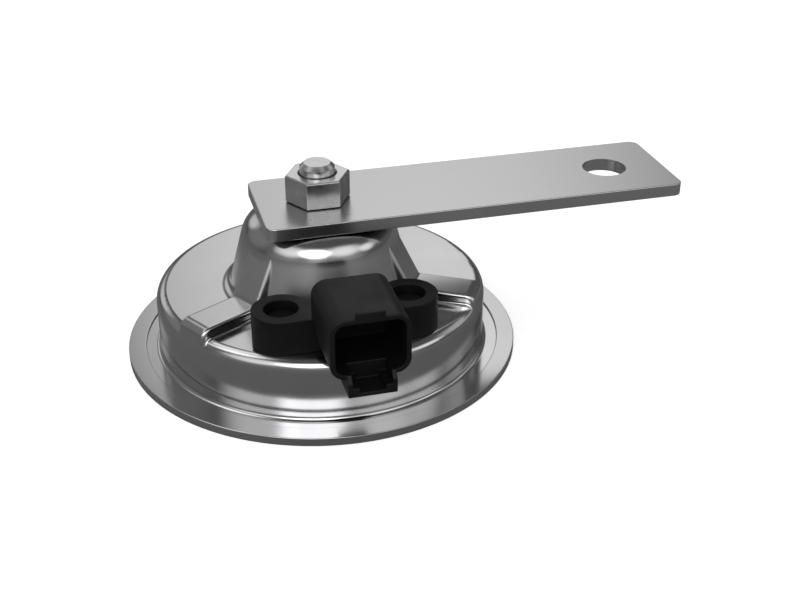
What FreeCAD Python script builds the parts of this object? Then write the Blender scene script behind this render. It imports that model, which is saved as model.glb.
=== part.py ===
"""Electric disc horn for a vehicle, with its fixing strap and moulded plug socket.

A pressed steel housing holds an electromagnet in its central tower. Its flange, a spring steel
diaphragm and a gasket are clamped together by a rolled rim. The armature on the diaphragm opens a
pair of contacts each time the magnet pulls it in, so the diaphragm hums and shakes the tone disc.

Millimetres, +Z up. The origin is the middle of the rim's underside, on the drum's axis. The strap
runs along +X, and the plug socket faces -Y.
"""
import FreeCAD, Part
import math
import os

V = FreeCAD.Vector
AXIS = V(0, 0, 1)
CENTRE = V(0, 0, 0)

# Places nearer than NEAR are one place, and a cutting body runs PAST beyond what it cuts
NEAR = 1e-4
PAST = 1.0

# Sheets clamped in the rim, from the bottom up
ring_sheet = 0.45
diaphragm_sheet = 0.2
gasket_sheet = 0.2
shell_sheet = 0.7

# Pressed housing: drum and tower
drum_radius = 38.5
drum_top = 16.0
drum_bend = 1.8
base_bend = 1.0
tower_foot_radius = 21.4
tower_draft = 14.8
tower_top = 33.5
tower_bend = 5.3
tower_foot_bend = 2.3

# Pressed housing: two ribs on the drum, each running up the tower as a flat buttress
rib_angle = 60.0
rib_width = 8.6
rib_rise = 2.5
rib_setback = 0.3
rib_bend = 0.2
rib_end_bend = 1.8
rib_foot_bend = 0.7
crease_step = 1.65
crease_bend = 0.6
buttress_drop = 4.3
buttress_cover = 0.8

# Rolled rim, from the drum's wall outwards
rim_width = 7.5
rim_gap = 0.15
hem_width = 4.1
lip_width = 5.0
rim_corner = 0.3

# Strap and its nut
strap_width = 28.0
strap_thickness = 3.0
strap_hole_distance = 70.4
strap_hole_radius = 5.25
strap_margin = 14.3
strap_corner = 2.2
strap_edge = 0.25
strap_stud_gap = 0.3
nut_across_flats = 13.0
nut_height = 6.5
nut_chamfer = 0.3
nut_countersink = 0.45

# Core with its stud, and the armature that it pulls
stud_radius = 4.0
stud_reach = 2.5
stud_chamfer = 0.95
thread_gap = 0.05
shell_hole_gap = 0.1
core_radius = 5.6
core_flange = 1.5
core_flange_gap = 0.3
air_gap = 0.8
armature_slack = 0.1
armature_height = 14.0
armature_shoulder = 0.8
stem_radius = 2.5
stem_end = 0.3

# Coil and the plate under it
yoke_seat = 3.1
yoke_sheet = 1.6
yoke_gap = 0.5
bobbin_gap = 0.4
bobbin_wall = 1.0
coil_clearance = 2.2
winding_cover = 0.8

# Diaphragm, tone disc and what joins them
hub_height = 5.0
hub_radius = 10.0
web_drop = 1.0
web_bend = 2.0
web_foot_gap = 0.3
web_slope = 3.7
spacer_radius = 6.0
spacer_thickness = 1.4
tone_sheet = 0.8
tone_edge_gap = 2.5
tone_hub_radius = 9.0
tone_drop = 1.6
tone_slope = 3.2
tone_rim_height = 1.6
tone_nut_across_flats = 8.0
tone_nut_height = 2.0

# Contact breaker, on a bracket under the yoke plate
breaker_step = 0.5
breaker_length = 7.0
breaker_width = 12.0
bracket_sheet = 1.0
bracket_margin = 3.0
bracket_rivet_step = 4.5
bracket_rivet_x = 4.0
bracket_rivet_radius = 1.1
breaker_rivet_x = 3.2
breaker_rivet_radius = 1.2
rivet_head = 0.8
rivet_head_spread = 0.8
arm_hole_gap = 0.8
insulator_upper = 1.5
insulator_middle = 2.0
spring_sheet = 0.3
arm_sheet = 1.0
blade_width = 5.0
contact_reach = 11.0
contact_radius = 1.5
arm_tip = 2.0
collar_gap = 0.3
collar_width = 2.5
collar_thickness = 1.5
collar_overlap = 1.8

# Adjusting screw, midway between the yoke plate and the drum's wall
adjuster_radius = 2.0
adjuster_head_radius = 3.3
adjuster_head = 1.6
adjuster_slot = 0.8
adjuster_nut_radius = 3.0
adjuster_nut = 1.4

# Resistor across the contacts, and the inner wires
resistor_radius = 2.0
resistor_length = 8.0
resistor_gap = 1.5
resistor_step = 5.0
resistor_wire = 0.35
resistor_bend = 1.0
wire_radius = 0.6
wire_hole_gap = 0.3
wire_bend = 1.4
coil_end_angle = 140.0
lead_inset = 2.5
lead_angles = (-50.0, -5.0, 40.0)

# Moulded connector: foot with two ears
ear_x = 14.1
ear_step = 2.8
ear_radius = 6.5
ear_hole_radius = 3.8
ear_height = 8.0
ear_web = 4.7
neck_blend = 3.0
connector_rivet_radius = 2.2
connector_rivet_head = 1.2
connector_rivet_gap = 0.4

# Moulded connector: socket with a lug on top, and the latch block that juts out under it
socket_overhang = 11.5
socket_inset = 1.6
socket_lift = 2.75
socket_width = 16.9
socket_height = 13.65
socket_wall = 1.1
socket_back_wall = 3.6
socket_corner = 3.3
socket_edge = 0.35
lug_width = 6.0
lug_length = 1.0
lug_height = 1.25
latch_jut = 1.25
latch_width = 10.3
latch_length = 7.75
latch_height = 3.65
latch_floor = 0.9
latch_slope = 1.6
latch_slot_width = 8.3
latch_slot_length = 5.85
latch_step_width = 5.4
latch_step = 1.2

# Terminal pins and their rubber seal
pin_x = 2.6
pin_radius = 0.8
pin_bend = 1.6
pin_reach = 4.3
pin_tail_step = 2.0
pin_tail_drop = 4.3
seal_length = 10.0
seal_width = 4.4
seal_corner = 1.8
seal_flange = 1.2
seal_flange_spread = 1.0
seal_pocket = 1.2


def tower_wall(level, inset):
    """Radius of the tower's straight wall at a level, moved in by inset."""
    draft = math.radians(tower_draft)
    return tower_foot_radius - (level - drum_top) * math.tan(draft) - inset / math.cos(draft)


# Levels that follow from the sizes above
gasket_level = ring_sheet + diaphragm_sheet
flange_level = gasket_level + gasket_sheet
flange_top = flange_level + shell_sheet
rim_height = flange_top + ring_sheet
rib_top = drum_top + rib_rise
drum_ceiling = drum_top - shell_sheet
tower_ceiling = tower_top - shell_sheet
strap_top = tower_top + strap_thickness
nut_top = strap_top + nut_height
stud_top = nut_top + stud_reach
core_flange_bottom = tower_ceiling - core_flange
hub_top = hub_height + diaphragm_sheet
armature_top = hub_top + armature_height
yoke_bottom = drum_ceiling - yoke_sheet
winding_bottom = drum_ceiling + bobbin_wall
tone_level = hub_height - spacer_thickness - tone_sheet
tone_nut_bottom = tone_level - tone_nut_height
bracket_bottom = yoke_bottom - bracket_sheet
spring_top = bracket_bottom - insulator_upper
spring_bottom = spring_top - spring_sheet
arm_top = spring_bottom - insulator_middle
arm_bottom = arm_top - arm_sheet
contact_meeting = (arm_top + spring_bottom) / 2
collar_top = spring_bottom - collar_gap
collar_bottom = collar_top - collar_thickness
spring_middle = (spring_top + spring_bottom) / 2
arm_middle = (arm_top + arm_bottom) / 2
ear_top = drum_top + ear_height
socket_bottom = drum_top + socket_lift
socket_top = socket_bottom + socket_height
opening_bottom = socket_bottom + socket_wall
opening_top = socket_top - socket_wall
latch_bottom = socket_bottom - latch_height
pin_level = (opening_bottom + opening_top) / 2
pin_low_level = (drum_top + ear_top) / 2
pin_tail_level = drum_ceiling - pin_tail_drop

# Radii and distances from the drum's axis that follow from the sizes above
rim_radius = drum_radius + rim_width
clamped_radius = rim_radius - ring_sheet - rim_gap
rib_reach = drum_radius - rib_setback
crease_radius = tower_foot_radius + crease_step
web_foot_radius = drum_radius - web_foot_gap
web_radius = web_foot_radius - web_slope
tone_radius = web_radius - tone_edge_gap
armature_radius = core_radius - armature_slack
collar_radius = armature_radius + collar_width
bobbin_bore = core_radius + bobbin_gap
bobbin_radius = tower_wall(tower_ceiling, shell_sheet) - coil_clearance
ceiling_radius = tower_wall(tower_ceiling - tower_bend, shell_sheet + tower_bend)
core_flange_radius = ceiling_radius - core_flange_gap
coil_wire_radius = (bobbin_bore + bobbin_wall + bobbin_radius) / 2
yoke_radius = tower_foot_radius + yoke_seat
adjuster_y = (yoke_radius + drum_radius) / 2
breaker_y = yoke_radius + breaker_step
bracket_rivet_y = breaker_y - breaker_length / 2 - bracket_rivet_step
contact_y = breaker_y - contact_reach
resistor_x = breaker_width / 2 + resistor_gap + resistor_radius
resistor_y = breaker_y - resistor_step
lead_radius = yoke_radius - lead_inset
neck_back = tower_foot_radius + tower_foot_bend
ear_y = neck_back + ear_step
foot_front = ear_y + ear_radius
connector_rivet_head_radius = ear_hole_radius - connector_rivet_gap
socket_front = drum_radius + socket_overhang
socket_back = foot_front - socket_inset
opening_back = socket_back + socket_back_wall
pin_drop_y = (socket_back + opening_back) / 2
pin_tip = opening_back + pin_reach
pin_tail_y = ear_y + pin_tail_step


def outline(corners, place):
    """Closed wire through corners (a, b, bend); place(a, b) gives the point in space."""
    runs = []
    count = len(corners)
    for i, (a, b, bend) in enumerate(corners):
        corner = V(a, b, 0)
        back = (V(*corners[i - 1][:2], 0) - corner).normalize()
        ahead = (V(*corners[(i + 1) % count][:2], 0) - corner).normalize()
        if not bend:
            runs.append([place(a, b)])
            continue
        half = back.getAngle(ahead) / 2
        inward = (back + ahead).normalize()
        start = corner + back * (bend / math.tan(half))
        end = corner + ahead * (bend / math.tan(half))
        middle = corner + inward * (bend / math.sin(half) - bend)
        runs.append([place(p.x, p.y) for p in (start, middle, end)])
    edges = []
    for run, following in zip(runs, runs[1:] + runs[:1]):
        if len(run) == 3:
            edges.append(Part.Arc(*run).toShape())
        if run[-1].distanceToPoint(following[0]) > NEAR:
            edges.append(Part.makeLine(run[-1], following[0]))
    return Part.Wire(edges)


def turned(corners):
    """Solid turned about the drum's axis from corners (radius, height, bend)."""
    section = outline(corners, lambda r, z: V(r, 0, z))
    return Part.Face(section).revolve(CENTRE, AXIS, 360)


def plate(corners, bottom, top):
    """Flat piece from corners (x, y, bend), between two levels."""
    section = outline(corners, lambda x, y: V(x, y, bottom))
    return Part.Face(section).extrude(V(0, 0, top - bottom))


def block(x0, x1, y0, y1, z0, z1):
    return Part.makeBox(x1 - x0, y1 - y0, z1 - z0, V(x0, y0, z0))


def rod(x, y, bottom, top, radius):
    return Part.makeCylinder(radius, top - bottom, V(x, y, bottom))


def rounded_rectangle(half_a, low, high, corner):
    return [(-half_a, low, corner), (half_a, low, corner), (half_a, high, corner), (-half_a, high, corner)]


def corner_reach(across_flats):
    """From a hexagon's centre to its corners."""
    return across_flats / 2 / math.cos(math.radians(30))


def hexagon(across_flats, bottom, top):
    """Hexagonal bar with two corners on the X axis."""
    reach = corner_reach(across_flats)
    corners = []
    for i in range(6):
        angle = math.radians(60 * i)
        corners.append((reach * math.cos(angle), reach * math.sin(angle), 0))
    return plate(corners, bottom, top)


def bent_rod(points, radius, bend):
    """Round bar along straight runs joined by arcs of one bend radius."""
    edges = []
    last = V(*points[0])
    for i in range(1, len(points) - 1):
        corner = V(*points[i])
        back = (V(*points[i - 1]) - corner).normalize()
        ahead = (V(*points[i + 1]) - corner).normalize()
        half = back.getAngle(ahead) / 2
        start = corner + back * (bend / math.tan(half))
        end = corner + ahead * (bend / math.tan(half))
        middle = corner + (back + ahead).normalize() * (bend / math.sin(half) - bend)
        edges.append(Part.makeLine(last, start))
        edges.append(Part.Arc(start, middle, end).toShape())
        last = end
    edges.append(Part.makeLine(last, V(*points[-1])))
    heading = V(*points[1]) - V(*points[0])
    section = Part.Wire(Part.makeCircle(radius, V(*points[0]), heading))
    return Part.Wire(edges).makePipeShell([section], True, False)


def save(name, shape):
    shape.exportStep("parts/" + name + ".step")


# Pressed housing

def drum_and_tower(inset):
    """The round form of the pressing, every face moved in by inset."""
    ledge = flange_top - inset
    spare = shell_sheet - inset
    return turned([
        (0, ledge - shell_sheet, 0),
        (clamped_radius, ledge - shell_sheet, 0),
        (clamped_radius, ledge, 0),
        (drum_radius - inset, ledge, base_bend + inset),
        (drum_radius - inset, drum_top - inset, drum_bend + spare),
        (tower_wall(drum_top - inset, inset), drum_top - inset, tower_foot_bend + inset),
        (tower_wall(tower_top - inset, inset), tower_top - inset, tower_bend + spare),
        (0, tower_top - inset, 0),
    ])


def buttress_lean():
    """Angle from upright at which the flat's two long edges run out on the tower's wall."""
    level = tower_top - buttress_drop
    wall = tower_wall(level, 0)
    reach = math.sqrt(wall * wall - (rib_width / 2) ** 2)
    return math.atan((crease_radius - reach) / (level - rib_top))


def rib(inset):
    """One rib with its buttress, along +X, with rounded edges, every face moved in by inset."""
    lean = buttress_lean()
    half = rib_width / 2 - inset
    spare = shell_sheet - inset
    bottom = drum_top / 2
    top = tower_top - buttress_drop + buttress_cover
    reach = rib_reach - inset
    crease = crease_radius + inset * math.tan(lean) - inset / math.cos(lean)
    head = crease - (top - rib_top + inset) * math.tan(lean)
    side = outline([
        (0, bottom, 0),
        (reach, bottom, 0),
        (reach, rib_top - inset, rib_end_bend + spare),
        (crease, rib_top - inset, crease_bend + inset),
        (head, top, 0),
        (0, top, 0),
    ], lambda d, z: V(d, -half, z))
    body = Part.Face(side).extrude(V(0, 2 * half, 0))
    edges = []
    for edge in body.Edges:
        middle = edge.CenterOfMass
        on_side = abs(abs(middle.y) - half) < NEAR
        if on_side and middle.x > NEAR and bottom + NEAR < middle.z < top - NEAR:
            edges.append(edge)
    return body.makeFillet(rib_bend + spare, edges)


def rib_feet(shape, inset):
    """The straight lines where the ribs' sides meet the drum's top."""
    feet = []
    for edge in shape.Edges:
        middle = edge.CenterOfMass
        straight = isinstance(edge.Curve, Part.Line)
        if not straight or abs(middle.z - drum_top + inset) > NEAR:
            continue
        for side in (-1, 1):
            angle = math.radians(side * rib_angle - 90)
            offset = middle.y * math.cos(angle) - middle.x * math.sin(angle)
            if abs(abs(offset) - rib_width / 2 + inset) < NEAR:
                feet.append(edge)
    return feet


def pressed_form(inset):
    """Drum, tower and ribs as one solid, every face moved in by inset."""
    ribs = []
    for side in (-1, 1):
        body = rib(inset)
        body.rotate(CENTRE, AXIS, side * rib_angle - 90)
        ribs.append(body)
    form = drum_and_tower(inset).fuse(ribs).removeSplitter()
    return form.makeFillet(rib_foot_bend, rib_feet(form, inset))


def housing():
    shell = pressed_form(0).cut(pressed_form(shell_sheet))
    holes = [rod(0, 0, drum_top, tower_top + PAST, stud_radius + shell_hole_gap)]
    holes.append(rod(0, adjuster_y, yoke_bottom, drum_top + PAST, adjuster_radius + shell_hole_gap))
    for x in (-ear_x, ear_x):
        holes.append(rod(x, -ear_y, yoke_bottom, drum_top + PAST, connector_rivet_radius))
    holes.append(seal_layer(0, yoke_bottom, drum_top + PAST))
    return shell.cut(holes)


# Rim, gasket, diaphragm and tone disc

def crimp_ring():
    wall = rim_radius - ring_sheet
    return turned([
        (rim_radius - lip_width, 0, 0),
        (rim_radius, 0, rim_corner),
        (rim_radius, rim_height, rim_corner),
        (rim_radius - hem_width, rim_height, 0),
        (rim_radius - hem_width, flange_top, 0),
        (wall, flange_top, 0),
        (wall, ring_sheet, 0),
        (rim_radius - lip_width, ring_sheet, 0),
    ])


def gasket():
    inner = drum_radius + base_bend + rim_gap
    return turned([
        (inner, gasket_level, 0),
        (clamped_radius, gasket_level, 0),
        (clamped_radius, flange_level, 0),
        (inner, flange_level, 0),
    ])


def diaphragm():
    web = hub_height - web_drop
    under = [
        (stem_radius, hub_height, 0),
        (hub_radius, hub_height, web_bend),
        (hub_radius + 2 * web_bend, web, web_bend),
        (web_radius, web, web_bend),
        (web_foot_radius, ring_sheet, web_drop),
        (clamped_radius, ring_sheet, 0),
    ]
    over = [(r, z + diaphragm_sheet, bend_over) for r, z, bend_over in reversed(under)]
    return turned(under + over)


def tone_disc():
    low = tone_level - tone_drop
    return turned([
        (stem_radius, tone_level, 0),
        (tone_hub_radius, tone_level, tone_sheet),
        (tone_hub_radius + tone_slope, low, tone_sheet),
        (tone_radius, low, 1.25 * tone_sheet),
        (tone_radius, low + tone_rim_height, 0),
        (tone_radius - tone_sheet, low + tone_rim_height, 0),
        (tone_radius - tone_sheet, low + tone_sheet, tone_sheet / 4),
        (tone_hub_radius + tone_slope, low + tone_sheet, tone_sheet),
        (tone_hub_radius, tone_level + tone_sheet, tone_sheet),
        (stem_radius, tone_level + tone_sheet, 0),
    ])


def tone_disc_spacer():
    disc = rod(0, 0, tone_level + tone_sheet, hub_height, spacer_radius)
    return disc.cut(rod(0, 0, tone_level, hub_top, stem_radius))


def tone_disc_nut():
    nut = hexagon(tone_nut_across_flats, tone_nut_bottom, tone_level)
    return nut.cut(rod(0, 0, tone_nut_bottom - PAST, tone_level + PAST, stem_radius + thread_gap))


# Magnet

def armature():
    shoulder = armature_radius + armature_shoulder
    return turned([
        (0, tone_nut_bottom - stem_end, 0),
        (stem_radius, tone_nut_bottom - stem_end, 0),
        (stem_radius, hub_top, 0),
        (shoulder, hub_top, 0),
        (shoulder, collar_bottom, 0),
        (armature_radius, collar_bottom, 0),
        (armature_radius, armature_top, 0),
        (0, armature_top, 0),
    ])


def armature_collar():
    collar = rod(0, 0, collar_bottom, collar_top, collar_radius)
    return collar.cut(rod(0, 0, arm_bottom, yoke_bottom, armature_radius))


def core_stud():
    return turned([
        (0, armature_top + air_gap, 0),
        (core_radius, armature_top + air_gap, 0),
        (core_radius, core_flange_bottom, 0),
        (core_flange_radius, core_flange_bottom, 0),
        (core_flange_radius, tower_ceiling, 0),
        (stud_radius, tower_ceiling, 0),
        (stud_radius, stud_top - stud_chamfer, 0),
        (stud_radius - stud_chamfer, stud_top, 0),
        (0, stud_top, 0),
    ])


def coil_wire_places():
    """Where the coil's two ends come down: the feed from the connector, and the breaker's side."""
    angle = math.radians(coil_end_angle)
    return [(-pin_x, -coil_wire_radius), (coil_wire_radius * math.cos(angle), coil_wire_radius * math.sin(angle))]


def wire_holes(bottom, top):
    return [rod(x, y, bottom, top, wire_radius + wire_hole_gap) for x, y in coil_wire_places()]


def yoke_plate():
    disc = rod(0, 0, yoke_bottom, drum_ceiling, yoke_radius)
    holes = wire_holes(bracket_bottom, winding_bottom)
    holes.append(rod(0, 0, bracket_bottom, winding_bottom, armature_radius + yoke_gap))
    for x in (-bracket_rivet_x, bracket_rivet_x):
        holes.append(rod(x, bracket_rivet_y, bracket_bottom, winding_bottom, bracket_rivet_radius))
    return disc.cut(holes)


def coil_bobbin():
    tube = bobbin_bore + bobbin_wall
    spool = turned([
        (bobbin_bore, drum_ceiling, 0),
        (bobbin_radius, drum_ceiling, 0),
        (bobbin_radius, winding_bottom, 0),
        (tube, winding_bottom, 0),
        (tube, core_flange_bottom - bobbin_wall, 0),
        (bobbin_radius, core_flange_bottom - bobbin_wall, 0),
        (bobbin_radius, core_flange_bottom, 0),
        (bobbin_bore, core_flange_bottom, 0),
    ])
    return spool.cut(wire_holes(yoke_bottom, winding_bottom + bobbin_wall / 2))


def coil_winding():
    inner = bobbin_bore + bobbin_wall
    outer = bobbin_radius - winding_cover
    return turned([
        (inner, winding_bottom, 0),
        (outer, winding_bottom, 0),
        (outer, core_flange_bottom - bobbin_wall, 0),
        (inner, core_flange_bottom - bobbin_wall, 0),
    ])


# Contact breaker

def breaker_layer(bottom, top, hole_radius):
    """One layer of the clamped stack, with the two rivet holes."""
    y0 = breaker_y - breaker_length / 2
    layer = block(-breaker_width / 2, breaker_width / 2, y0, y0 + breaker_length, bottom, top)
    for x in (-breaker_rivet_x, breaker_rivet_x):
        layer = layer.cut(rod(x, breaker_y, bottom, top, hole_radius))
    return layer


def contact_blade(bottom, top, tip):
    blade = block(-blade_width / 2, blade_width / 2, tip, breaker_y - breaker_length / 2, bottom, top)
    return breaker_layer(bottom, top, breaker_rivet_radius + arm_hole_gap).fuse(blade).removeSplitter()


def breaker_bracket():
    half = breaker_width / 2
    end = adjuster_y + adjuster_nut_radius
    start = bracket_rivet_y - bracket_margin
    bracket = block(-half, half, start, end, bracket_bottom, yoke_bottom)
    holes = []
    for x in (-bracket_rivet_x, bracket_rivet_x):
        holes.append(rod(x, bracket_rivet_y, bracket_bottom, yoke_bottom, bracket_rivet_radius))
    for x in (-breaker_rivet_x, breaker_rivet_x):
        holes.append(rod(x, breaker_y, bracket_bottom, yoke_bottom, breaker_rivet_radius))
    return bracket.cut(holes)


def rivets(places, bottom, top, radius):
    """Rivets that stand on their heads, flush at the top."""
    group = []
    for x, y in places:
        shank = rod(x, y, bottom, top, radius)
        head = rod(x, y, bottom - rivet_head, bottom, radius + rivet_head_spread)
        group.append(shank.fuse(head).removeSplitter())
    return Part.makeCompound(group)


def adjusting_screw():
    screw = rod(0, adjuster_y, yoke_bottom, drum_top, adjuster_radius)
    head_top = drum_top + adjuster_head
    head = rod(0, adjuster_y, drum_top, head_top, adjuster_head_radius)
    half = adjuster_slot / 2
    reach = adjuster_head_radius + PAST
    slot = block(-reach, reach, adjuster_y - half, adjuster_y + half, head_top - adjuster_slot, head_top + PAST)
    return screw.fuse(head).cut(slot).removeSplitter()


def adjuster_nut_piece():
    nut = rod(0, adjuster_y, drum_ceiling - adjuster_nut, drum_ceiling, adjuster_nut_radius)
    return nut.cut(rod(0, adjuster_y, yoke_bottom, drum_top, adjuster_radius + thread_gap))


def suppression_resistor():
    """Resistor body with its two wire ends, one to the spring and one to the fixed arm."""
    start = resistor_y - resistor_length / 2
    end = resistor_y + resistor_length / 2
    along = V(0, 1, 0)
    body = Part.makeCylinder(resistor_radius, resistor_length, V(resistor_x, start, spring_middle), along)
    side = breaker_width / 2
    joint = breaker_y + breaker_length / 4
    far = bent_rod([
        (resistor_x, end, spring_middle),
        (resistor_x, joint, spring_middle),
        (side, joint, spring_middle),
    ], resistor_wire, resistor_bend)
    near = bent_rod([
        (resistor_x, start, spring_middle),
        (resistor_x, contact_y, spring_middle),
        (resistor_x, contact_y, arm_middle),
        (blade_width / 2, contact_y, arm_middle),
    ], resistor_wire, resistor_bend)
    return body.fuse([far, near]).removeSplitter()


def inner_wires():
    """The feed to the coil, the coil's other end to the spring, and the fixed arm's return."""
    feed, far_end = coil_wire_places()
    side = breaker_width / 2
    near_joint = breaker_y - breaker_length / 4
    far_joint = breaker_y + breaker_length / 4
    round_coil = []
    for degrees in lead_angles:
        angle = math.radians(degrees)
        round_coil.append((lead_radius * math.cos(angle), lead_radius * math.sin(angle), arm_middle))
    routes = {
        "feed_lead": [
            (-pin_x, -pin_tail_y, pin_tail_level),
            (-pin_x, -pin_tail_y, arm_middle),
            (*feed, arm_middle),
            (*feed, winding_bottom),
        ],
        "coil_lead": [
            (*far_end, winding_bottom),
            (*far_end, spring_middle),
            (far_end[0], near_joint, spring_middle),
            (-side, near_joint, spring_middle),
        ],
        "breaker_lead": [
            (pin_x, -pin_tail_y, pin_tail_level),
            (pin_x, -pin_tail_y, arm_middle),
            *round_coil,
            (round_coil[-1][0], far_joint, arm_middle),
            (side, far_joint, arm_middle),
        ],
    }
    return {name: bent_rod(points, wire_radius, wire_bend) for name, points in routes.items()}


# Moulded connector

def terminal_pin(x):
    """Round pin: out of the socket, down inside the moulding, back, and down into the drum."""
    return bent_rod([
        (x, -pin_tip, pin_level),
        (x, -pin_drop_y, pin_level),
        (x, -pin_drop_y, pin_low_level),
        (x, -pin_tail_y, pin_low_level),
        (x, -pin_tail_y, pin_tail_level),
    ], pin_radius, pin_bend)


def seal_layer(spread, bottom, top):
    half = seal_width / 2 + spread
    low = -pin_tail_y - half
    corners = rounded_rectangle(seal_length / 2 + spread, low, low + 2 * half, seal_corner)
    return plate(corners, bottom, top)


def terminal_seal():
    """Rubber seal: a flange under the drum's top, and a body that fills the hole and the pocket."""
    seal = seal_layer(seal_flange_spread, drum_ceiling - seal_flange, drum_ceiling)
    seal = seal.fuse(seal_layer(0, drum_ceiling, drum_top + seal_pocket)).removeSplitter()
    for x in (-pin_x, pin_x):
        seal = seal.cut(terminal_pin(x))
    return seal


def ear_plate():
    """The flat foot with an ear at each end, on the drum's top."""
    foot = block(-ear_x, ear_x, -foot_front, -neck_back, drum_top, ear_top)
    for x in (-ear_x, ear_x):
        foot = foot.fuse(rod(x, -ear_y, drum_top, ear_top, ear_radius))
    foot = foot.removeSplitter()
    corners = []
    for edge in foot.Edges:
        middle = edge.CenterOfMass
        if abs(middle.y + neck_back) < NEAR and abs(middle.z - (drum_top + ear_top) / 2) < NEAR:
            corners.append(edge)
    foot = foot.makeFillet(neck_blend, corners)
    for x in (-ear_x, ear_x):
        foot = foot.cut(rod(x, -ear_y, drum_top + ear_web, ear_top, ear_hole_radius))
        foot = foot.cut(rod(x, -ear_y, drum_top, drum_top + ear_web, connector_rivet_radius))
    return foot


def facing_front(half, low, high, corner, front, back):
    """Rounded bar along Y, between two distances in front of the drum's axis."""
    section = outline(rounded_rectangle(half, low, high, corner), lambda x, z: V(x, -front, z))
    return Part.Face(section).extrude(V(0, front - back, 0))


def latch_block():
    """Block under the opening, its front corner sloped back up to the opening's lower edge."""
    front = -socket_front - latch_jut
    section = outline([
        (front, latch_bottom, 0),
        (front + latch_length, latch_bottom, 0),
        (front + latch_length, opening_bottom, 0),
        (-socket_front, opening_bottom, 0),
        (front, opening_bottom - latch_slope, 0),
    ], lambda y, z: V(-latch_width / 2, y, z))
    return Part.Face(section).extrude(V(latch_width, 0, 0))


def latch_channel():
    """Space for the plug's latch: a wide channel between two rails, with a narrower one in its floor."""
    front = -socket_front - latch_jut
    back = front + latch_slot_length
    floor = latch_bottom + latch_floor
    slot = latch_slot_width / 2
    step = latch_step_width / 2
    return [
        block(-slot, slot, front - PAST, back, floor + latch_step, opening_bottom + PAST),
        block(-step, step, front - PAST, back, floor, floor + latch_step),
    ]


def socket():
    """The shroud round the pins, with the lug and the latch block."""
    bar = facing_front(socket_width / 2, socket_bottom, socket_top, socket_corner, socket_front, socket_back)
    rim = []
    for edge in bar.Edges:
        if abs(edge.CenterOfMass.y + socket_front) < NEAR:
            rim.append(edge)
    bar = bar.makeFillet(socket_edge, rim)
    front = -socket_front
    lug = block(-lug_width / 2, lug_width / 2, front, front + lug_length, opening_top, socket_top + lug_height)
    hollow = facing_front(socket_width / 2 - socket_wall, opening_bottom, opening_top,
                          socket_corner - socket_wall, socket_front + PAST, opening_back)
    return bar.fuse([lug, latch_block()]).cut([hollow, *latch_channel()])


def connector_housing():
    moulding = ear_plate().fuse(socket()).removeSplitter()
    moulding = moulding.cut(seal_layer(0, drum_top, drum_top + seal_pocket))
    for x in (-pin_x, pin_x):
        moulding = moulding.cut(terminal_pin(x))
    return moulding


def connector_rivets():
    group = []
    seat = drum_top + ear_web
    for x in (-ear_x, ear_x):
        shank = rod(x, -ear_y, drum_ceiling, seat, connector_rivet_radius)
        top_head = rod(x, -ear_y, seat, seat + connector_rivet_head, connector_rivet_head_radius)
        low_head = rod(x, -ear_y, drum_ceiling - connector_rivet_head, drum_ceiling,
                       connector_rivet_head_radius)
        group.append(shank.fuse([top_head, low_head]).removeSplitter())
    return Part.makeCompound(group)


# Strap and nut

def bracket_strap():
    half = strap_width / 2
    end = strap_hole_distance + strap_margin
    corners = [
        (-strap_margin, -half, strap_corner), (end, -half, strap_corner),
        (end, half, strap_corner), (-strap_margin, half, strap_corner),
    ]
    strap = plate(corners, tower_top, strap_top)
    edges = []
    for edge in strap.Edges:
        if abs(edge.CenterOfMass.z - (tower_top + strap_top) / 2) > strap_edge:
            edges.append(edge)
    strap = strap.makeFillet(strap_edge, edges)
    strap = strap.cut(rod(0, 0, tower_top, strap_top, stud_radius + strap_stud_gap))
    return strap.cut(rod(strap_hole_distance, 0, tower_top, strap_top, strap_hole_radius))


def bracket_nut():
    """Hexagon nut with bevelled end faces and a countersunk thread."""
    nut = hexagon(nut_across_flats, strap_top, nut_top)
    edges = []
    for edge in nut.Edges:
        if abs(edge.CenterOfMass.z - (strap_top + nut_top) / 2) > nut_height / 4:
            edges.append(edge)
    nut = nut.makeChamfer(nut_chamfer, edges)
    bore = stud_radius + thread_gap
    thread = turned([
        (0, strap_top - PAST, 0),
        (bore, strap_top - PAST, 0),
        (bore, nut_top - nut_countersink, 0),
        (bore + nut_countersink, nut_top, 0),
        (bore + nut_countersink, nut_top + PAST, 0),
        (0, nut_top + PAST, 0),
    ])
    return nut.cut(thread)


os.makedirs("parts", exist_ok=True)
save("housing", housing())
save("crimp_ring", crimp_ring())
save("gasket", gasket())
save("diaphragm", diaphragm())
save("tone_disc", tone_disc())
save("tone_disc_spacer", tone_disc_spacer())
save("tone_disc_nut", tone_disc_nut())
save("armature", armature())
save("armature_collar", armature_collar())
save("core_stud", core_stud())
save("yoke_plate", yoke_plate())
save("coil_bobbin", coil_bobbin())
save("coil_winding", coil_winding())
save("breaker_bracket", breaker_bracket())
save("upper_insulator", breaker_layer(spring_top, bracket_bottom, breaker_rivet_radius))
save("middle_insulator", breaker_layer(arm_top, spring_bottom, breaker_rivet_radius))
save("moving_contact_spring", contact_blade(spring_bottom, spring_top, collar_radius - collar_overlap))
save("fixed_contact_arm", contact_blade(arm_bottom, arm_top, contact_y - arm_tip))
save("moving_contact", rod(0, contact_y, contact_meeting, spring_bottom, contact_radius))
save("fixed_contact", rod(0, contact_y, arm_top, contact_meeting, contact_radius))
stack_places = [(-breaker_rivet_x, breaker_y), (breaker_rivet_x, breaker_y)]
save("breaker_rivets", rivets(stack_places, arm_bottom, yoke_bottom, breaker_rivet_radius))
plate_places = [(-bracket_rivet_x, bracket_rivet_y), (bracket_rivet_x, bracket_rivet_y)]
save("bracket_rivets", rivets(plate_places, bracket_bottom, drum_ceiling, bracket_rivet_radius))
save("adjusting_screw", adjusting_screw())
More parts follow.
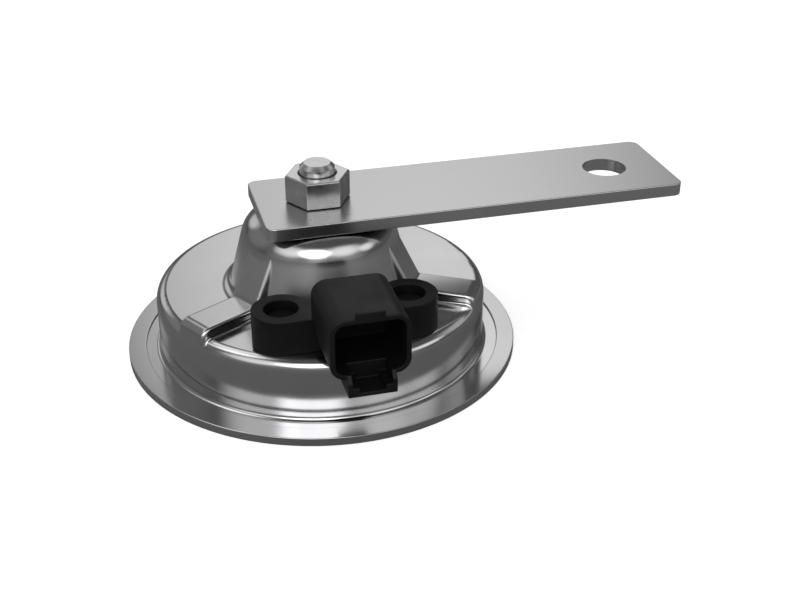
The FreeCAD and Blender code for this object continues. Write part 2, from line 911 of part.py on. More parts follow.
save("adjuster_nut", adjuster_nut_piece())
save("suppression_resistor", suppression_resistor())
for name, wire in inner_wires().items():
    save(name, wire)
save("terminal_pin_left", terminal_pin(-pin_x))
save("terminal_pin_right", terminal_pin(pin_x))
save("terminal_seal", terminal_seal())
save("connector_housing", connector_housing())
save("connector_rivets", connector_rivets())
save("bracket_strap", bracket_strap())
save("bracket_nut", bracket_nut())
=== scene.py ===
"""Electric disc horn on a white studio floor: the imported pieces, finished and lit for the camera.

The file follows the horn as it goes together: the pressed housing, the magnet and breaker inside it,
the sounding parts and their rim, the plug socket, then the strap and its nut. The studio comes last.
"""
import math
import bmesh
import bpy
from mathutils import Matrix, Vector
from mathutils.bvhtree import BVHTree


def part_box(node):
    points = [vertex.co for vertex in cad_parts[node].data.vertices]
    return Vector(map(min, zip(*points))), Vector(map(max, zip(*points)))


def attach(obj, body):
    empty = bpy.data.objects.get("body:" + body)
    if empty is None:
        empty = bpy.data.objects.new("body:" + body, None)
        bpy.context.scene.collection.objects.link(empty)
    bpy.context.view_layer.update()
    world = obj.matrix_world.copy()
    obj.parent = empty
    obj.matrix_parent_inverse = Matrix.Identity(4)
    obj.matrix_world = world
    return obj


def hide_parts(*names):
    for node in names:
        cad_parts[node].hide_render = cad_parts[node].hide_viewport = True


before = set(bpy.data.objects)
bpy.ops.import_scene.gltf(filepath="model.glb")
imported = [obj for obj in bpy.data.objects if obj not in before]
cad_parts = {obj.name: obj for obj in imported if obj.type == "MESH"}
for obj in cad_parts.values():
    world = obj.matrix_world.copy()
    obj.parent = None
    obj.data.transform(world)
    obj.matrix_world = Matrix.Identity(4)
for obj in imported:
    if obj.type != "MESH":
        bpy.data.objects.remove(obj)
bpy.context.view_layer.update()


# Pressed housing. One sheet of steel is deep drawn into the drum, the tower and the two ribs that brace
# it. It is bright plated and left bare, so faint waves of the drawn sheet show in all that it mirrors.

MM = 0.001
CLOUD_RANGE = (0.3, 0.7)
CLOUD_DETAIL = 3.0
RELIEF_DETAIL = 1.0


def variation_group():
    """Cloudy tone, and a relief of slow waves under fine grain, from the piece's own coordinates."""
    group = bpy.data.node_groups.new("surface_variation", "ShaderNodeTree")
    for title in ("Cloud Size", "Wave Size", "Wave Depth", "Grain Size", "Grain Depth"):
        group.interface.new_socket(title, in_out="INPUT", socket_type="NodeSocketFloat")
    for title in ("Cloud", "Height"):
        group.interface.new_socket(title, in_out="OUTPUT", socket_type="NodeSocketFloat")
    nodes, links = group.nodes, group.links
    given = nodes.new("NodeGroupInput")
    put = nodes.new("NodeGroupOutput")
    place = nodes.new("ShaderNodeTexCoord")
    fields = {}
    for title in ("Cloud", "Wave", "Grain"):
        per_metre = nodes.new("ShaderNodeMath")
        per_metre.operation = "DIVIDE"
        per_metre.inputs[0].default_value = 1.0
        links.new(given.outputs[title + " Size"], per_metre.inputs[1])
        noise = nodes.new("ShaderNodeTexNoise")
        noise.inputs["Detail"].default_value = CLOUD_DETAIL if title == "Cloud" else RELIEF_DETAIL
        links.new(place.outputs["Object"], noise.inputs["Vector"])
        links.new(per_metre.outputs[0], noise.inputs["Scale"])
        fields[title] = noise.outputs["Fac"]
    clearer = nodes.new("ShaderNodeMapRange")
    clearer.inputs["From Min"].default_value, clearer.inputs["From Max"].default_value = CLOUD_RANGE
    links.new(fields["Cloud"], clearer.inputs["Value"])
    links.new(clearer.outputs["Result"], put.inputs["Cloud"])
    waves = nodes.new("ShaderNodeMath")
    waves.operation = "MULTIPLY"
    links.new(fields["Wave"], waves.inputs[0])
    links.new(given.outputs["Wave Depth"], waves.inputs[1])
    relief = nodes.new("ShaderNodeMath")
    relief.operation = "MULTIPLY_ADD"
    links.new(fields["Grain"], relief.inputs[0])
    links.new(given.outputs["Grain Depth"], relief.inputs[1])
    links.new(waves.outputs[0], relief.inputs[2])
    links.new(relief.outputs[0], put.inputs["Height"])
    return group


HOLLOW_SHADE_RANGE = (0.12, 0.55)


def hollow_shade_group():
    """Mask for painted shade: Open is 1 on a free surface and falls towards 0 in a hollow narrower than
    Reach.
    """
    group = bpy.data.node_groups.new("painted_hollow_shade", "ShaderNodeTree")
    group.interface.new_socket("Reach", in_out="INPUT", socket_type="NodeSocketFloat")
    group.interface.new_socket("Open", in_out="OUTPUT", socket_type="NodeSocketFloat")
    nodes, links = group.nodes, group.links
    given = nodes.new("NodeGroupInput")
    put = nodes.new("NodeGroupOutput")
    around = nodes.new("ShaderNodeAmbientOcclusion")
    around.samples = 8
    links.new(given.outputs["Reach"], around.inputs["Distance"])
    clearer = nodes.new("ShaderNodeMapRange")
    clearer.inputs["From Min"].default_value, clearer.inputs["From Max"].default_value = HOLLOW_SHADE_RANGE
    links.new(around.outputs["AO"], clearer.inputs["Value"])
    links.new(clearer.outputs["Result"], put.inputs["Open"])
    return group


variation = variation_group()
hollow_shade_tree = hollow_shade_group()


def finish(name, dark, light, rough, cloud=14.0, wave=(6.0, 0.0), grain=(0.4, 0.0003), reach=4.0, deep=0.15,
           **constants):
    """A surface whose colour and roughness drift, with shade painted into its hollows: in a hollow narrower
    than reach, the colour is darkened down to the share deep of it. Wave and grain are a size and a depth
    each. Lengths are in mm."""
    material = bpy.data.materials.new(name)
    material.use_nodes = True
    nodes, links = material.node_tree.nodes, material.node_tree.links
    shader = nodes["Principled BSDF"]
    for socket, value in constants.items():
        shader.inputs[socket.replace("_", " ")].default_value = value
    vary = nodes.new("ShaderNodeGroup")
    vary.node_tree = variation
    sizes = (cloud, *wave, *grain)
    for title, size in zip(("Cloud Size", "Wave Size", "Wave Depth", "Grain Size", "Grain Depth"), sizes):
        vary.inputs[title].default_value = size * MM
    colour = nodes.new("ShaderNodeMix")
    colour.data_type = "RGBA"
    colour.inputs["A"].default_value = (*dark, 1)
    colour.inputs["B"].default_value = (*light, 1)
    links.new(vary.outputs["Cloud"], colour.inputs["Factor"])
    # Painted shade: ambient occlusion darkens the colour in hollows narrower than reach, down to the share
    # deep of it.
    hollow = nodes.new("ShaderNodeGroup")
    hollow.node_tree = hollow_shade_tree
    hollow.inputs["Reach"].default_value = reach * MM
    shade = nodes.new("ShaderNodeMapRange")
    shade.inputs["To Min"].default_value = deep
    links.new(hollow.outputs["Open"], shade.inputs["Value"])
    shaded = nodes.new("ShaderNodeMix")
    shaded.data_type = "RGBA"
    shaded.blend_type = "MULTIPLY"
    shaded.inputs["Factor"].default_value = 1.0
    links.new(colour.outputs["Result"], shaded.inputs["A"])
    links.new(shade.outputs["Result"], shaded.inputs["B"])
    links.new(shaded.outputs["Result"], shader.inputs["Base Color"])
    sheen = nodes.new("ShaderNodeMapRange")
    sheen.inputs["To Min"].default_value = rough[0]
    sheen.inputs["To Max"].default_value = rough[1]
    links.new(vary.outputs["Cloud"], sheen.inputs["Value"])
    links.new(sheen.outputs["Result"], shader.inputs["Roughness"])
    relief = nodes.new("ShaderNodeBump")
    relief.inputs["Distance"].default_value = 1.0
    links.new(vary.outputs["Height"], relief.inputs["Height"])
    links.new(relief.outputs["Normal"], shader.inputs["Normal"])
    return material


def dress(material, *nodes):
    """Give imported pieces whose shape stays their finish."""
    for node in nodes:
        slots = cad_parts[node].data.materials
        slots.clear()
        slots.append(material)


# Painted shade: hollows narrower than 7 mm, such as the drum's foot and the tower under the strap, darken its
# colour.
plated_shell = finish("plated_shell", (0.62, 0.62, 0.625), (0.68, 0.68, 0.685), (0.13, 0.18),
                      wave=(7.0, 0.009), grain=(0.35, 0.00005), reach=7.0, Metallic=1.0)


def satin_band(material, low, high, fade, added):
    """Make the material rougher between two heights in mm, where the drawn sheet has stretched most."""
    nodes, links = material.node_tree.nodes, material.node_tree.links
    shader = nodes["Principled BSDF"]
    before = shader.inputs["Roughness"].links[0].from_socket
    place = nodes.new("ShaderNodeTexCoord")
    axes = nodes.new("ShaderNodeSeparateXYZ")
    links.new(place.outputs["Object"], axes.inputs["Vector"])
    band = nodes.new("ShaderNodeMath")
    band.operation = "MULTIPLY"
    for factor, (start, end) in zip(band.inputs, ((low - fade, low), (high + fade, high))):
        ramp = nodes.new("ShaderNodeMapRange")
        ramp.inputs["From Min"].default_value = start * MM
        ramp.inputs["From Max"].default_value = end * MM
        links.new(axes.outputs["Z"], ramp.inputs["Value"])
        links.new(ramp.outputs["Result"], factor)
    rougher = nodes.new("ShaderNodeMath")
    rougher.operation = "MULTIPLY_ADD"
    rougher.inputs[1].default_value = added
    links.new(band.outputs[0], rougher.inputs[0])
    links.new(before, rougher.inputs[2])
    links.new(rougher.outputs[0], shader.inputs["Roughness"])


satin_band(plated_shell, low=20.0, high=27.5, fade=2.0, added=0.22)


def made_plain(piece):
    """Turn what the modifiers make into the piece's own mesh."""
    if piece.name not in bpy.context.scene.collection.objects:
        bpy.context.scene.collection.objects.link(piece)
    shown = piece.evaluated_get(bpy.context.evaluated_depsgraph_get())
    piece.data = bpy.data.meshes.new_from_object(shown)
    piece.modifiers.clear()
    return piece


def stand_in(piece, node):
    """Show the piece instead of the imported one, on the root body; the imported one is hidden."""
    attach(piece, "root")
    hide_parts(node)


SEAM = 0.00003 * MM


def merged_copy(node, name, material, flat_angle=0.0):
    """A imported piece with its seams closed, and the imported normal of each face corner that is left."""
    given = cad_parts[node].data
    form = bmesh.new()
    form.from_mesh(given)
    packed = form.loops.layers.float_vector.new("packed_normal")
    for face, polygon in zip(form.faces, given.polygons):
        for corner, index in zip(face.loops, polygon.loop_indices):
            corner[packed] = given.corner_normals[index].vector
    bmesh.ops.remove_doubles(form, verts=form.verts, dist=SEAM)
    if flat_angle:
        flat = math.radians(flat_angle)
        bmesh.ops.dissolve_limit(form, angle_limit=flat, verts=form.verts, edges=form.edges)
    form.verts.index_update()
    corners = [v.co.copy() for v in form.verts]
    faces = [[v.index for v in face.verts] for face in form.faces]
    normals = [corner[packed].copy() for face in form.faces for corner in face.loops]
    form.free()
    mesh = bpy.data.meshes.new(name)
    mesh.from_pydata(corners, [], faces)
    mesh.materials.append(material)
    mesh.shade_smooth()
    return bpy.data.objects.new(name, mesh), normals


BEND_SLACK = 0.02
INNER_SIDE = -0.2


def true_bend(mesh, normals, radius, height, bend):
    """Make normals square to a hollow bend round Z, given its centre line's radius and height in mm. Those
    that point lower than INNER_SIDE belong to the sheet's inner side, and stay."""
    for corner in mesh.loops:
        place = mesh.vertices[corner.vertex_index].co / MM
        out = math.hypot(place.x, place.y)
        inward, down = radius - out, height - place.z
        on_bend = abs(math.hypot(inward, down) - bend) < BEND_SLACK and min(inward, down) > -BEND_SLACK / 2
        if on_bend and normals[corner.index].z > INNER_SIDE:
            facing = Vector((place.x / out * inward, place.y / out * inward, down))
            normals[corner.index] = facing.normalized()


shell, shell_normals = merged_copy("housing", "pressed_shell", plated_shell)
true_bend(shell.data, shell_normals, radius=39.5, height=2.55, bend=1.0)
shell.data.normals_split_custom_set(shell_normals)
bpy.context.scene.collection.objects.link(shell)
stand_in(shell, "housing")


# Magnet. A soft iron plate under the drum closes the path round a nylon bobbin, whose enamelled copper
# wire is wound in even turns. The armature slides in its bore, turned from the same iron.

natural_nylon = finish("natural_nylon", (0.55, 0.53, 0.45), (0.62, 0.60, 0.52), (0.40, 0.50))
dress(natural_nylon, "coil_bobbin")
soft_iron = finish("soft_iron", (0.34, 0.34, 0.35), (0.42, 0.42, 0.43), (0.35, 0.50), Metallic=1.0)
dress(soft_iron, "yoke_plate", "armature")


def set_inputs(modifier, values):
    """Fill a node tree's named inputs."""
    for item in modifier.node_group.interface.items_tree:
        if item.item_type == "SOCKET" and item.in_out == "INPUT" and item.name in values:
            modifier[item.identifier] = values[item.name]


def add(name, tree, start, values):
    """A piece that a node tree makes from a starting mesh."""
    piece = bpy.data.objects.new(name, start)
    modifier = piece.modifiers.new(name, "NODES")
    modifier.node_group = tree
    set_inputs(modifier, values)
    return made_plain(piece)


def new_tree(name, titles):
    """An empty geometry tree with the named inputs and one geometry output."""
    tree = bpy.data.node_groups.new(name, "GeometryNodeTree")
    tree.interface.new_socket("Geometry", in_out="OUTPUT", socket_type="NodeSocketGeometry")
    for title, kind in titles.items():
        tree.interface.new_socket(title, in_out="INPUT", socket_type="NodeSocket" + kind)
    return tree


def end_tree(tree, given, geometry):
    """Realize Instances and Set Material, then the output."""
    nodes, links = tree.nodes, tree.links
    real = nodes.new("GeometryNodeRealizeInstances")
    paint = nodes.new("GeometryNodeSetMaterial")
    put = nodes.new("NodeGroupOutput")
    links.new(geometry, real.inputs["Geometry"])
    links.new(real.outputs["Geometry"], paint.inputs["Geometry"])
    links.new(given.outputs["Material"], paint.inputs["Material"])
    links.new(paint.outputs["Geometry"], put.inputs["Geometry"])


def turned_tree():
    """A closed section, given as edges, turned about Z with its corners rounded."""
    tree = new_tree("turned_ring", {"Section": "Geometry", "Path Radius": "Float", "Edge Radius": "Float",
                                    "Edge Steps": "Int", "Steps Round": "Int", "Material": "Material"})
    nodes, links = tree.nodes, tree.links
    given = nodes.new("NodeGroupInput")
    edge = nodes.new("GeometryNodeMeshToCurve")
    rounded = nodes.new("GeometryNodeFilletCurve")
    rounded.mode = "POLY"
    rounded.inputs["Limit Radius"].default_value = True
    links.new(given.outputs["Section"], edge.inputs["Mesh"])
    links.new(edge.outputs["Curve"], rounded.inputs["Curve"])
    links.new(given.outputs["Edge Radius"], rounded.inputs["Radius"])
    links.new(given.outputs["Edge Steps"], rounded.inputs["Count"])
    path = nodes.new("GeometryNodeCurvePrimitiveCircle")
    links.new(given.outputs["Steps Round"], path.inputs["Resolution"])
    links.new(given.outputs["Path Radius"], path.inputs["Radius"])
    sweep = nodes.new("GeometryNodeCurveToMesh")
    links.new(path.outputs["Curve"], sweep.inputs["Curve"])
    links.new(rounded.outputs["Curve"], sweep.inputs["Profile Curve"])
    end_tree(tree, given, sweep.outputs["Mesh"])
    return tree


turned_ring = turned_tree()
SAME_POINT = 0.0005 * MM


def turned(name, corners, material, edge_radius, edge_steps=4, steps_round=192):
    """A turned piece from the corners (radius, height) of its section in mm."""
    path_radius = max(radius for radius, height in corners)
    section = bpy.data.meshes.new(name)
    points = [((radius - path_radius) * MM, -height * MM, 0) for radius, height in corners]
    section.from_pydata(points, [(i, (i + 1) % len(points)) for i in range(len(points))], [])
    piece = add(name, turned_ring, section, {
        "Path Radius": path_radius * MM, "Edge Radius": edge_radius * MM, "Edge Steps": edge_steps,
        "Steps Round": steps_round, "Material": material})
    form = bmesh.new()
    form.from_mesh(piece.data)
    bmesh.ops.remove_doubles(form, verts=form.verts, dist=SAME_POINT)
    bmesh.ops.recalc_face_normals(form, faces=form.faces)
    form.to_mesh(piece.data)
    form.free()
    piece.data.shade_smooth()
    flats = piece.modifiers.new("even_flats", "WEIGHTED_NORMAL")
    flats.weight = 100
    return made_plain(piece)


def helix_tree():
    """Wire wound round Z over the given sleeve, at one radius, rising from Level by Rise."""
    tree = new_tree("wound_helix", {"Sleeve": "Geometry", "Radius": "Float", "Turns": "Float",
                                    "Steps a Turn": "Int", "Level": "Float", "Rise": "Float",
                                    "Wire Radius": "Float", "Wire Sides": "Int", "Material": "Material"})
    nodes, links = tree.nodes, tree.links
    given = nodes.new("NodeGroupInput")
    spiral = nodes.new("GeometryNodeCurveSpiral")
    links.new(given.outputs["Steps a Turn"], spiral.inputs["Resolution"])
    links.new(given.outputs["Turns"], spiral.inputs["Rotations"])
    links.new(given.outputs["Radius"], spiral.inputs["Start Radius"])
    links.new(given.outputs["Radius"], spiral.inputs["End Radius"])
    links.new(given.outputs["Rise"], spiral.inputs["Height"])
    section = nodes.new("GeometryNodeCurvePrimitiveCircle")
    links.new(given.outputs["Wire Sides"], section.inputs["Resolution"])
    links.new(given.outputs["Wire Radius"], section.inputs["Radius"])
    sweep = nodes.new("GeometryNodeCurveToMesh")
    sweep.inputs["Fill Caps"].default_value = True
    links.new(spiral.outputs["Curve"], sweep.inputs["Curve"])
    links.new(section.outputs["Curve"], sweep.inputs["Profile Curve"])
    lift = nodes.new("ShaderNodeCombineXYZ")
    links.new(given.outputs["Level"], lift.inputs["Z"])
    raised = nodes.new("GeometryNodeTransform")
    links.new(sweep.outputs["Mesh"], raised.inputs["Geometry"])
    links.new(lift.outputs["Vector"], raised.inputs["Translation"])
    smooth = nodes.new("GeometryNodeSetShadeSmooth")
    links.new(raised.outputs["Geometry"], smooth.inputs["Geometry"])
    together = nodes.new("GeometryNodeJoinGeometry")
    links.new(smooth.outputs["Geometry"], together.inputs["Geometry"])
    links.new(given.outputs["Sleeve"], together.inputs["Geometry"])
    end_tree(tree, given, together.outputs["Geometry"])
    return tree


wound_helix = helix_tree()
enamelled_copper = finish("enamelled_copper", (0.62, 0.24, 0.10), (0.72, 0.30, 0.14), (0.25, 0.35),
                          Metallic=1.0)
coil_low, coil_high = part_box("coil_winding")
coil_bore = min(math.hypot(v.co.x, v.co.y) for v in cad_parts["coil_winding"].data.vertices)
wire_radius = 0.4 * MM
sleeve = turned("inner_turns", [
    (coil_bore / MM, coil_low[2] / MM),
    ((coil_high[0] - wire_radius) / MM, coil_low[2] / MM),
    ((coil_high[0] - wire_radius) / MM, coil_high[2] / MM),
    (coil_bore / MM, coil_high[2] / MM),
], enamelled_copper, edge_radius=0.1, steps_round=96)
winding = add("wound_wire", wound_helix, sleeve.data, {
    "Radius": coil_high[0] - wire_radius,
    "Turns": (coil_high[2] - coil_low[2]) / (2 * wire_radius) - 1, "Steps a Turn": 64,
    "Level": coil_low[2] + wire_radius,
    "Rise": coil_high[2] - coil_low[2] - 2 * wire_radius,
    "Wire Radius": wire_radius, "Wire Sides": 8, "Material": enamelled_copper})
bpy.data.objects.remove(sleeve)
stand_in(winding, "coil_winding")


# Contact breaker. A bronze spring and a brass arm, each with a contact button, are clamped between
# fibre boards by two rivets, on a bracket riveted to the plate. A cement resistor spans the contacts.

fibre_board = finish("fibre_board", (0.20, 0.09, 0.04), (0.26, 0.12, 0.06), (0.60, 0.70))
dress(fibre_board, "armature_collar", "upper_insulator", "middle_insulator")
spring_bronze = finish("spring_bronze", (0.60, 0.40, 0.16), (0.66, 0.46, 0.20), (0.25, 0.35), Metallic=1.0)
dress(spring_bronze, "moving_contact_spring")
tinned_brass = finish("tinned_brass", (0.60, 0.55, 0.42), (0.66, 0.62, 0.50), (0.25, 0.35), Metallic=1.0)
dress(tinned_brass, "fixed_contact_arm")
contact_silver = finish("contact_silver", (0.70, 0.70, 0.69), (0.78, 0.78, 0.77), (0.20, 0.30),
                        Metallic=1.0)
dress(contact_silver, "moving_contact", "fixed_contact")
resistor_cement = finish("resistor_cement", (0.20, 0.22, 0.16), (0.28, 0.30, 0.23), (0.70, 0.85),
                         grain=(0.5, 0.02))
dress(resistor_cement, "suppression_resistor")
wire_sleeve = finish("wire_sleeve", (0.20, 0.02, 0.015), (0.28, 0.03, 0.02), (0.40, 0.50))
dress(wire_sleeve, "feed_lead", "coil_lead", "breaker_lead")
dress(soft_iron, "breaker_bracket")
plated_fastener = finish("plated_fastener", (0.64, 0.64, 0.64), (0.76, 0.76, 0.76), (0.20, 0.28), cloud=3.0,
                         wave=(2.5, 0.001), grain=(0.2, 0.0001), reach=2.0, Metallic=1.0)
dress(plated_fastener, "breaker_rivets", "bracket_rivets", "adjuster_nut")


# Adjusting screw. It sets the contacts from outside, behind the tower, and its slotted cheese head is
# turned with the edges broken, so they catch the light.

FLAT_WITHIN = 0.4
STRAY = 1.2


def rounded_copy(node, name, material, width, angle=30):
    """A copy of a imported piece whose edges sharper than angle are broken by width, in mm. A corner that the
    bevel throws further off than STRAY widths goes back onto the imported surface."""
    piece, _ = merged_copy(node, name, material, FLAT_WITHIN)
    bevel = piece.modifiers.new("edges", "BEVEL")
    bevel.width = width * MM
    bevel.segments = 3
    bevel.limit_method = "ANGLE"
    bevel.angle_limit = math.radians(angle)
    bevel.use_clamp_overlap = False
    bevel.harden_normals = True
    sharp = piece.data
    packed = BVHTree.FromPolygons([v.co for v in sharp.vertices], [p.vertices[:] for p in sharp.polygons])
    made_plain(piece)
    for vertex in piece.data.vertices:
        nearest, _, _, distance = packed.find_nearest(vertex.co)
        if distance > STRAY * width * MM:
            vertex.co = nearest
    return piece


screw = rounded_copy("adjusting_screw", "slotted_screw", plated_fastener, width=0.15)
stand_in(screw, "adjusting_screw")


# Sounding parts. The spring steel diaphragm carries the armature, and a dished disc is nutted below it
# to colour the note. Both are stove lacquered black, and a fibre gasket seals the diaphragm's edge.

black_lacquer = finish("black_lacquer", (0.012, 0.012, 0.013), (0.020, 0.020, 0.022), (0.28, 0.42),
                       wave=(5.0, 0.006))
dress(black_lacquer, "diaphragm", "tone_disc")
dress(soft_iron, "tone_disc_spacer")
dress(plated_fastener, "tone_disc_nut")
gasket_fibre = finish("gasket_fibre", (0.12, 0.10, 0.08), (0.18, 0.16, 0.13), (0.80, 0.90),
                      grain=(0.3, 0.02))
dress(gasket_fibre, "gasket")


# Rolled rim. A plated steel ring is rolled over the edge of the housing, the gasket and the diaphragm,
# and clamps them together for good. Its folded edge lies flat on the housing's flange.

rim_sheet = 0.45
rim_lip = 5.0
rim_hem = 4.1
_, rim_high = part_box("crimp_ring")
rim_radius = rim_high[0] / MM
rim_height = rim_high[2] / MM
plated_rim = finish("plated_rim", (0.60, 0.60, 0.605), (0.65, 0.65, 0.655), (0.14, 0.19), cloud=20.0,
                    wave=(9.0, 0.006), grain=(0.35, 0.00005), reach=2.0, Metallic=1.0)
rim = turned("rolled_rim", [
    (rim_radius - rim_lip, 0),
    (rim_radius, 0),
    (rim_radius, rim_height),
    (rim_radius - rim_hem, rim_height),
    (rim_radius - rim_hem, rim_height - rim_sheet),
    (rim_radius - rim_sheet, rim_height - rim_sheet),
    (rim_radius - rim_sheet, rim_sheet),
    (rim_radius - rim_lip, rim_sheet),
], plated_rim, edge_radius=0.2)
stand_in(rim, "crimp_ring")


# Plug socket. The foot with two ears, the socket and its latch block are one moulding in black nylon
# with a fine spark texture. Two black rivets hold it to the drum, over a soft rubber seal.

black_nylon = finish("black_nylon", (0.004, 0.004, 0.0043), (0.007, 0.007, 0.0073), (0.46, 0.58), cloud=8.0,
                     wave=(3.0, 0.004), grain=(0.25, 0.002), Specular_IOR_Level=0.3)
moulding = rounded_copy("connector_housing", "socket_moulding", black_nylon, width=0.18)
stand_in(moulding, "connector_housing")
# Painted shade: the tinned pins get a near-black colour, since they stand in the socket's shade.
shade_dark_tin = finish("shade_dark_tin", (0.030, 0.030, 0.029), (0.060, 0.060, 0.058), (0.50, 0.65), Metallic=1.0)
dress(shade_dark_tin, "terminal_pin_left", "terminal_pin_right")
seal_rubber = finish("seal_rubber", (0.012, 0.012, 0.012), (0.020, 0.020, 0.020), (0.60, 0.75))
dress(seal_rubber, "terminal_seal")
black_rivet = finish("black_rivet", (0.003, 0.003, 0.003), (0.006, 0.006, 0.006), (0.50, 0.60), cloud=3.0,
                     Specular_IOR_Level=0.15)
dress(black_rivet, "connector_rivets")


# Fixing strap. A length of flat steel bar is cropped, its corners taken off, drilled at both ends and
# plated. The tumbling before plating leaves the flats satin and the edges a little round.

# Painted shade: hollows narrower than 25 mm darken the colour to 0.04 of itself, so the underside over the
# tower reads black, and so does its image in the shell.
plated_bar = finish("plated_bar", (0.64, 0.64, 0.64), (0.68, 0.68, 0.68), (0.25, 0.30), cloud=18.0,
                    wave=(8.0, 0.002), grain=(0.35, 0.00005), reach=25.0, deep=0.04, Metallic=1.0)
dress(plated_bar, "bracket_strap")


# Stud and nut. The magnet's core runs on through the tower's top as an M8 stud, and one hexagon nut
# clamps the strap to it. The nut's edges are bevelled, and the stud's end is turned to a short cone.

dress(plated_fastener, "core_stud")
nut = rounded_copy("bracket_nut", "bevelled_nut", plated_fastener, width=0.08, angle=20)
stand_in(nut, "bracket_nut")


# Studio. The horn stands on white paper in a white room. The camera sees both as plain white, and the
# paper keeps the soft shadow. In mirror-bright metal the paper is dim, so the form reads dark on white.

FLOOR_HALF = 3.0
PAPER_WHITE = 0.92
PAPER_GLOW = 0.55
PAPER_IN_METAL = 0.22
floor_mesh = bpy.data.meshes.new("floor")
around = ((-1, -1), (1, -1), (1, 1), (-1, 1))
floor_mesh.from_pydata([(x * FLOOR_HALF, y * FLOOR_HALF, 0) for x, y in around], [], [(0, 1, 2, 3)])
floor = bpy.data.objects.new("floor", floor_mesh)
bpy.context.scene.collection.objects.link(floor)
paper = bpy.data.materials.new("studio_floor")
paper.use_nodes = True
nodes, links = paper.node_tree.nodes, paper.node_tree.links
nodes.clear()
out = nodes.new("ShaderNodeOutputMaterial")
path = nodes.new("ShaderNodeLightPath")
seen = nodes.new("ShaderNodeBsdfDiffuse")
seen.inputs["Color"].default_value = (PAPER_WHITE, PAPER_WHITE, PAPER_WHITE, 1)
lift = nodes.new("ShaderNodeEmission")
lift.inputs["Strength"].default_value = PAPER_GLOW
both = nodes.new("ShaderNodeAddShader")
mirrored = nodes.new("ShaderNodeBsdfDiffuse")
mirrored.inputs["Color"].default_value = (PAPER_IN_METAL, PAPER_IN_METAL, PAPER_IN_METAL, 1)
choose = nodes.new("ShaderNodeMixShader")
links.new(seen.outputs[0], both.inputs[0])
links.new(lift.outputs[0], both.inputs[1])
links.new(path.outputs["Is Camera Ray"], choose.inputs["Fac"])
links.new(mirrored.outputs[0], choose.inputs[1])
links.new(both.outputs[0], choose.inputs[2])
links.new(choose.outputs[0], out.inputs["Surface"])
floor_mesh.materials.append(paper)


# Room. The metal mirrors dim walls with soft panels hung on them: a round key panel behind the camera,
# two narrow ones overhead, small ones to the right and the rear, and faint large ones for the fill.
# Each is given by its bearing from +Y towards +X, its height, and where its brightness starts to fade.

AMBIENT = 0.6
WALL = 0.09
world = bpy.data.worlds.new("room")
bpy.context.scene.world = world
world.use_nodes = True
nodes, links = world.node_tree.nodes, world.node_tree.links
nodes.clear()
out = nodes.new("ShaderNodeOutputWorld")
path = nodes.new("ShaderNodeLightPath")
place = nodes.new("ShaderNodeTexCoord")


def panel(name, bearing, height, core, edge, radiance):
    """The brightness of one soft round panel: full within core degrees of its middle, none past edge."""
    turn, tilt = math.radians(bearing), math.radians(height)
    toward = nodes.new("ShaderNodeVectorMath")
    toward.operation = "DOT_PRODUCT"
    toward.inputs[1].default_value = (math.sin(turn) * math.cos(tilt), math.cos(turn) * math.cos(tilt),
                                      math.sin(tilt))
    links.new(place.outputs["Generated"], toward.inputs[0])
    glow = nodes.new("ShaderNodeMapRange")
    glow.name = name
    glow.interpolation_type = "SMOOTHSTEP"
    glow.inputs["From Min"].default_value = math.cos(math.radians(edge))
    glow.inputs["From Max"].default_value = math.cos(math.radians(core))
    glow.inputs["To Max"].default_value = radiance
    links.new(toward.outputs["Value"], glow.inputs["Value"])
    return glow.outputs["Result"]


panels = [
    panel("key_panel", -160, 40, core=14, edge=23, radiance=2.3),
    panel("overhead_left", -65, 60, core=3, edge=16, radiance=1.5),
    panel("overhead_rear", -20, 55, core=3, edge=16, radiance=1.05),
    panel("right_panel", 115, 25, core=3, edge=16, radiance=0.95),
    panel("rear_panel", 15, 26, core=4, edge=18, radiance=0.78),
    panel("rear_upper", 20, 45, core=3, edge=16, radiance=0.75),
    panel("rear_left", -20, 20, core=3, edge=16, radiance=0.6),
    panel("right_fill", 80, 25, core=6, edge=24, radiance=0.4),
    panel("left_fill", -120, 38, core=6, edge=28, radiance=0.8),
    panel("front_fill", 150, 40, core=6, edge=28, radiance=0.8),
    panel("front_glow", 165, 20, core=20, edge=50, radiance=0.2),
    panel("left_wall", -55, 25, core=10, edge=34, radiance=0.12),
    panel("low_front", -130, 5, core=20, edge=50, radiance=0.12),
]
total = panels[0]
for glow in panels[1:]:
    plus = nodes.new("ShaderNodeMath")
    links.new(total, plus.inputs[0])
    links.new(glow, plus.inputs[1])
    total = plus.outputs[0]
base = nodes.new("ShaderNodeMath")
base.inputs[1].default_value = WALL
links.new(total, base.inputs[0])
glossy = nodes.new("ShaderNodeBackground")
links.new(base.outputs[0], glossy.inputs["Strength"])
ambient = nodes.new("ShaderNodeBackground")
ambient.inputs["Strength"].default_value = AMBIENT
white = nodes.new("ShaderNodeBackground")
white.inputs["Strength"].default_value = 1.0
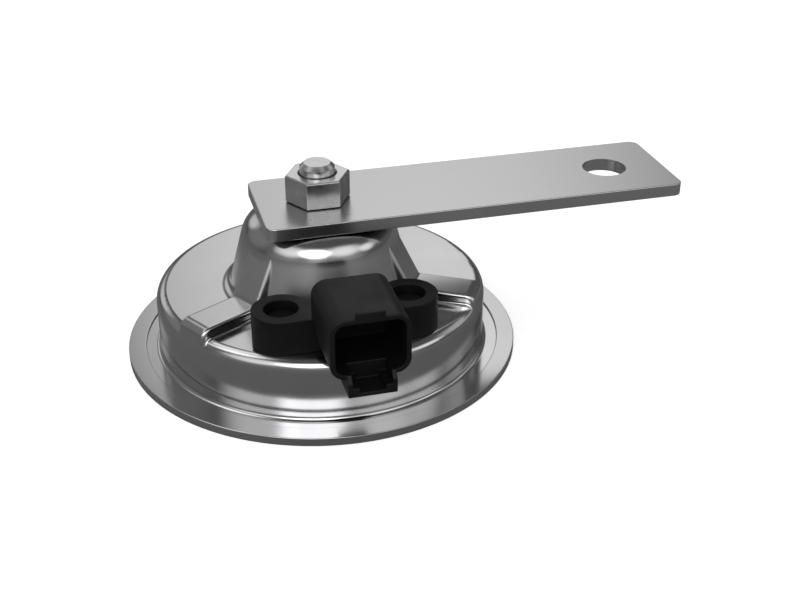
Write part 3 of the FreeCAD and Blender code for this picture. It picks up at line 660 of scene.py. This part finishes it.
for light in (glossy, ambient, white):
    light.inputs["Color"].default_value = (1, 1, 1, 1)
by_gloss = nodes.new("ShaderNodeMixShader")
links.new(path.outputs["Is Glossy Ray"], by_gloss.inputs["Fac"])
links.new(ambient.outputs[0], by_gloss.inputs[1])
links.new(glossy.outputs[0], by_gloss.inputs[2])
by_camera = nodes.new("ShaderNodeMixShader")
links.new(path.outputs["Is Camera Ray"], by_camera.inputs["Fac"])
links.new(by_gloss.outputs[0], by_camera.inputs[1])
links.new(white.outputs[0], by_camera.inputs[2])
links.new(by_camera.outputs[0], out.inputs["Surface"])


# Key lamp. A round softbox where the metal mirrors the key panel. It lights the black parts and casts the
# soft shadow on the paper. The panel already stands for it in the metal, so the lamp isn't mirrored.

KEY_AT = Vector((-0.336, -0.924, 0.688))
KEY_SIZE = 0.7
KEY_RADIANCE = 2.0
key = bpy.data.lights.new("key_lamp", "AREA")
key.shape = "DISK"
key.size = KEY_SIZE
key.energy = KEY_RADIANCE * math.pi * math.pi * (KEY_SIZE / 2) ** 2
key_lamp = bpy.data.objects.new("key_lamp", key)
key_lamp.location = KEY_AT
key_lamp.rotation_euler = KEY_AT.to_track_quat("Z", "Y").to_euler()
key_lamp.visible_glossy = False
bpy.context.scene.collection.objects.link(key_lamp)


# Camera. It stands left of the socket and well above the horn, and looks down and to the right, as the
# photograph does. Lens, place and aim were fitted to the nut, the strap and the rim.

CAMERA_AT = Vector((-51.2, -261.4, 155.7)) * MM
CAMERA_AIM = Vector((0.2286, 0.8465, -0.4808)).normalized()
CAMERA_LENS = 57.13
camera = bpy.data.objects.new("camera", bpy.data.cameras.new("camera"))
camera.data.sensor_fit = "HORIZONTAL"
camera.data.sensor_width = 36.0
camera.data.lens = CAMERA_LENS
camera.data.clip_start = 0.01
camera.location = CAMERA_AT
camera.rotation_euler = CAMERA_AIM.to_track_quat("-Z", "Y").to_euler()
bpy.context.scene.collection.objects.link(camera)
bpy.context.scene.camera = camera
bpy.context.scene.view_settings.view_transform = "Standard"
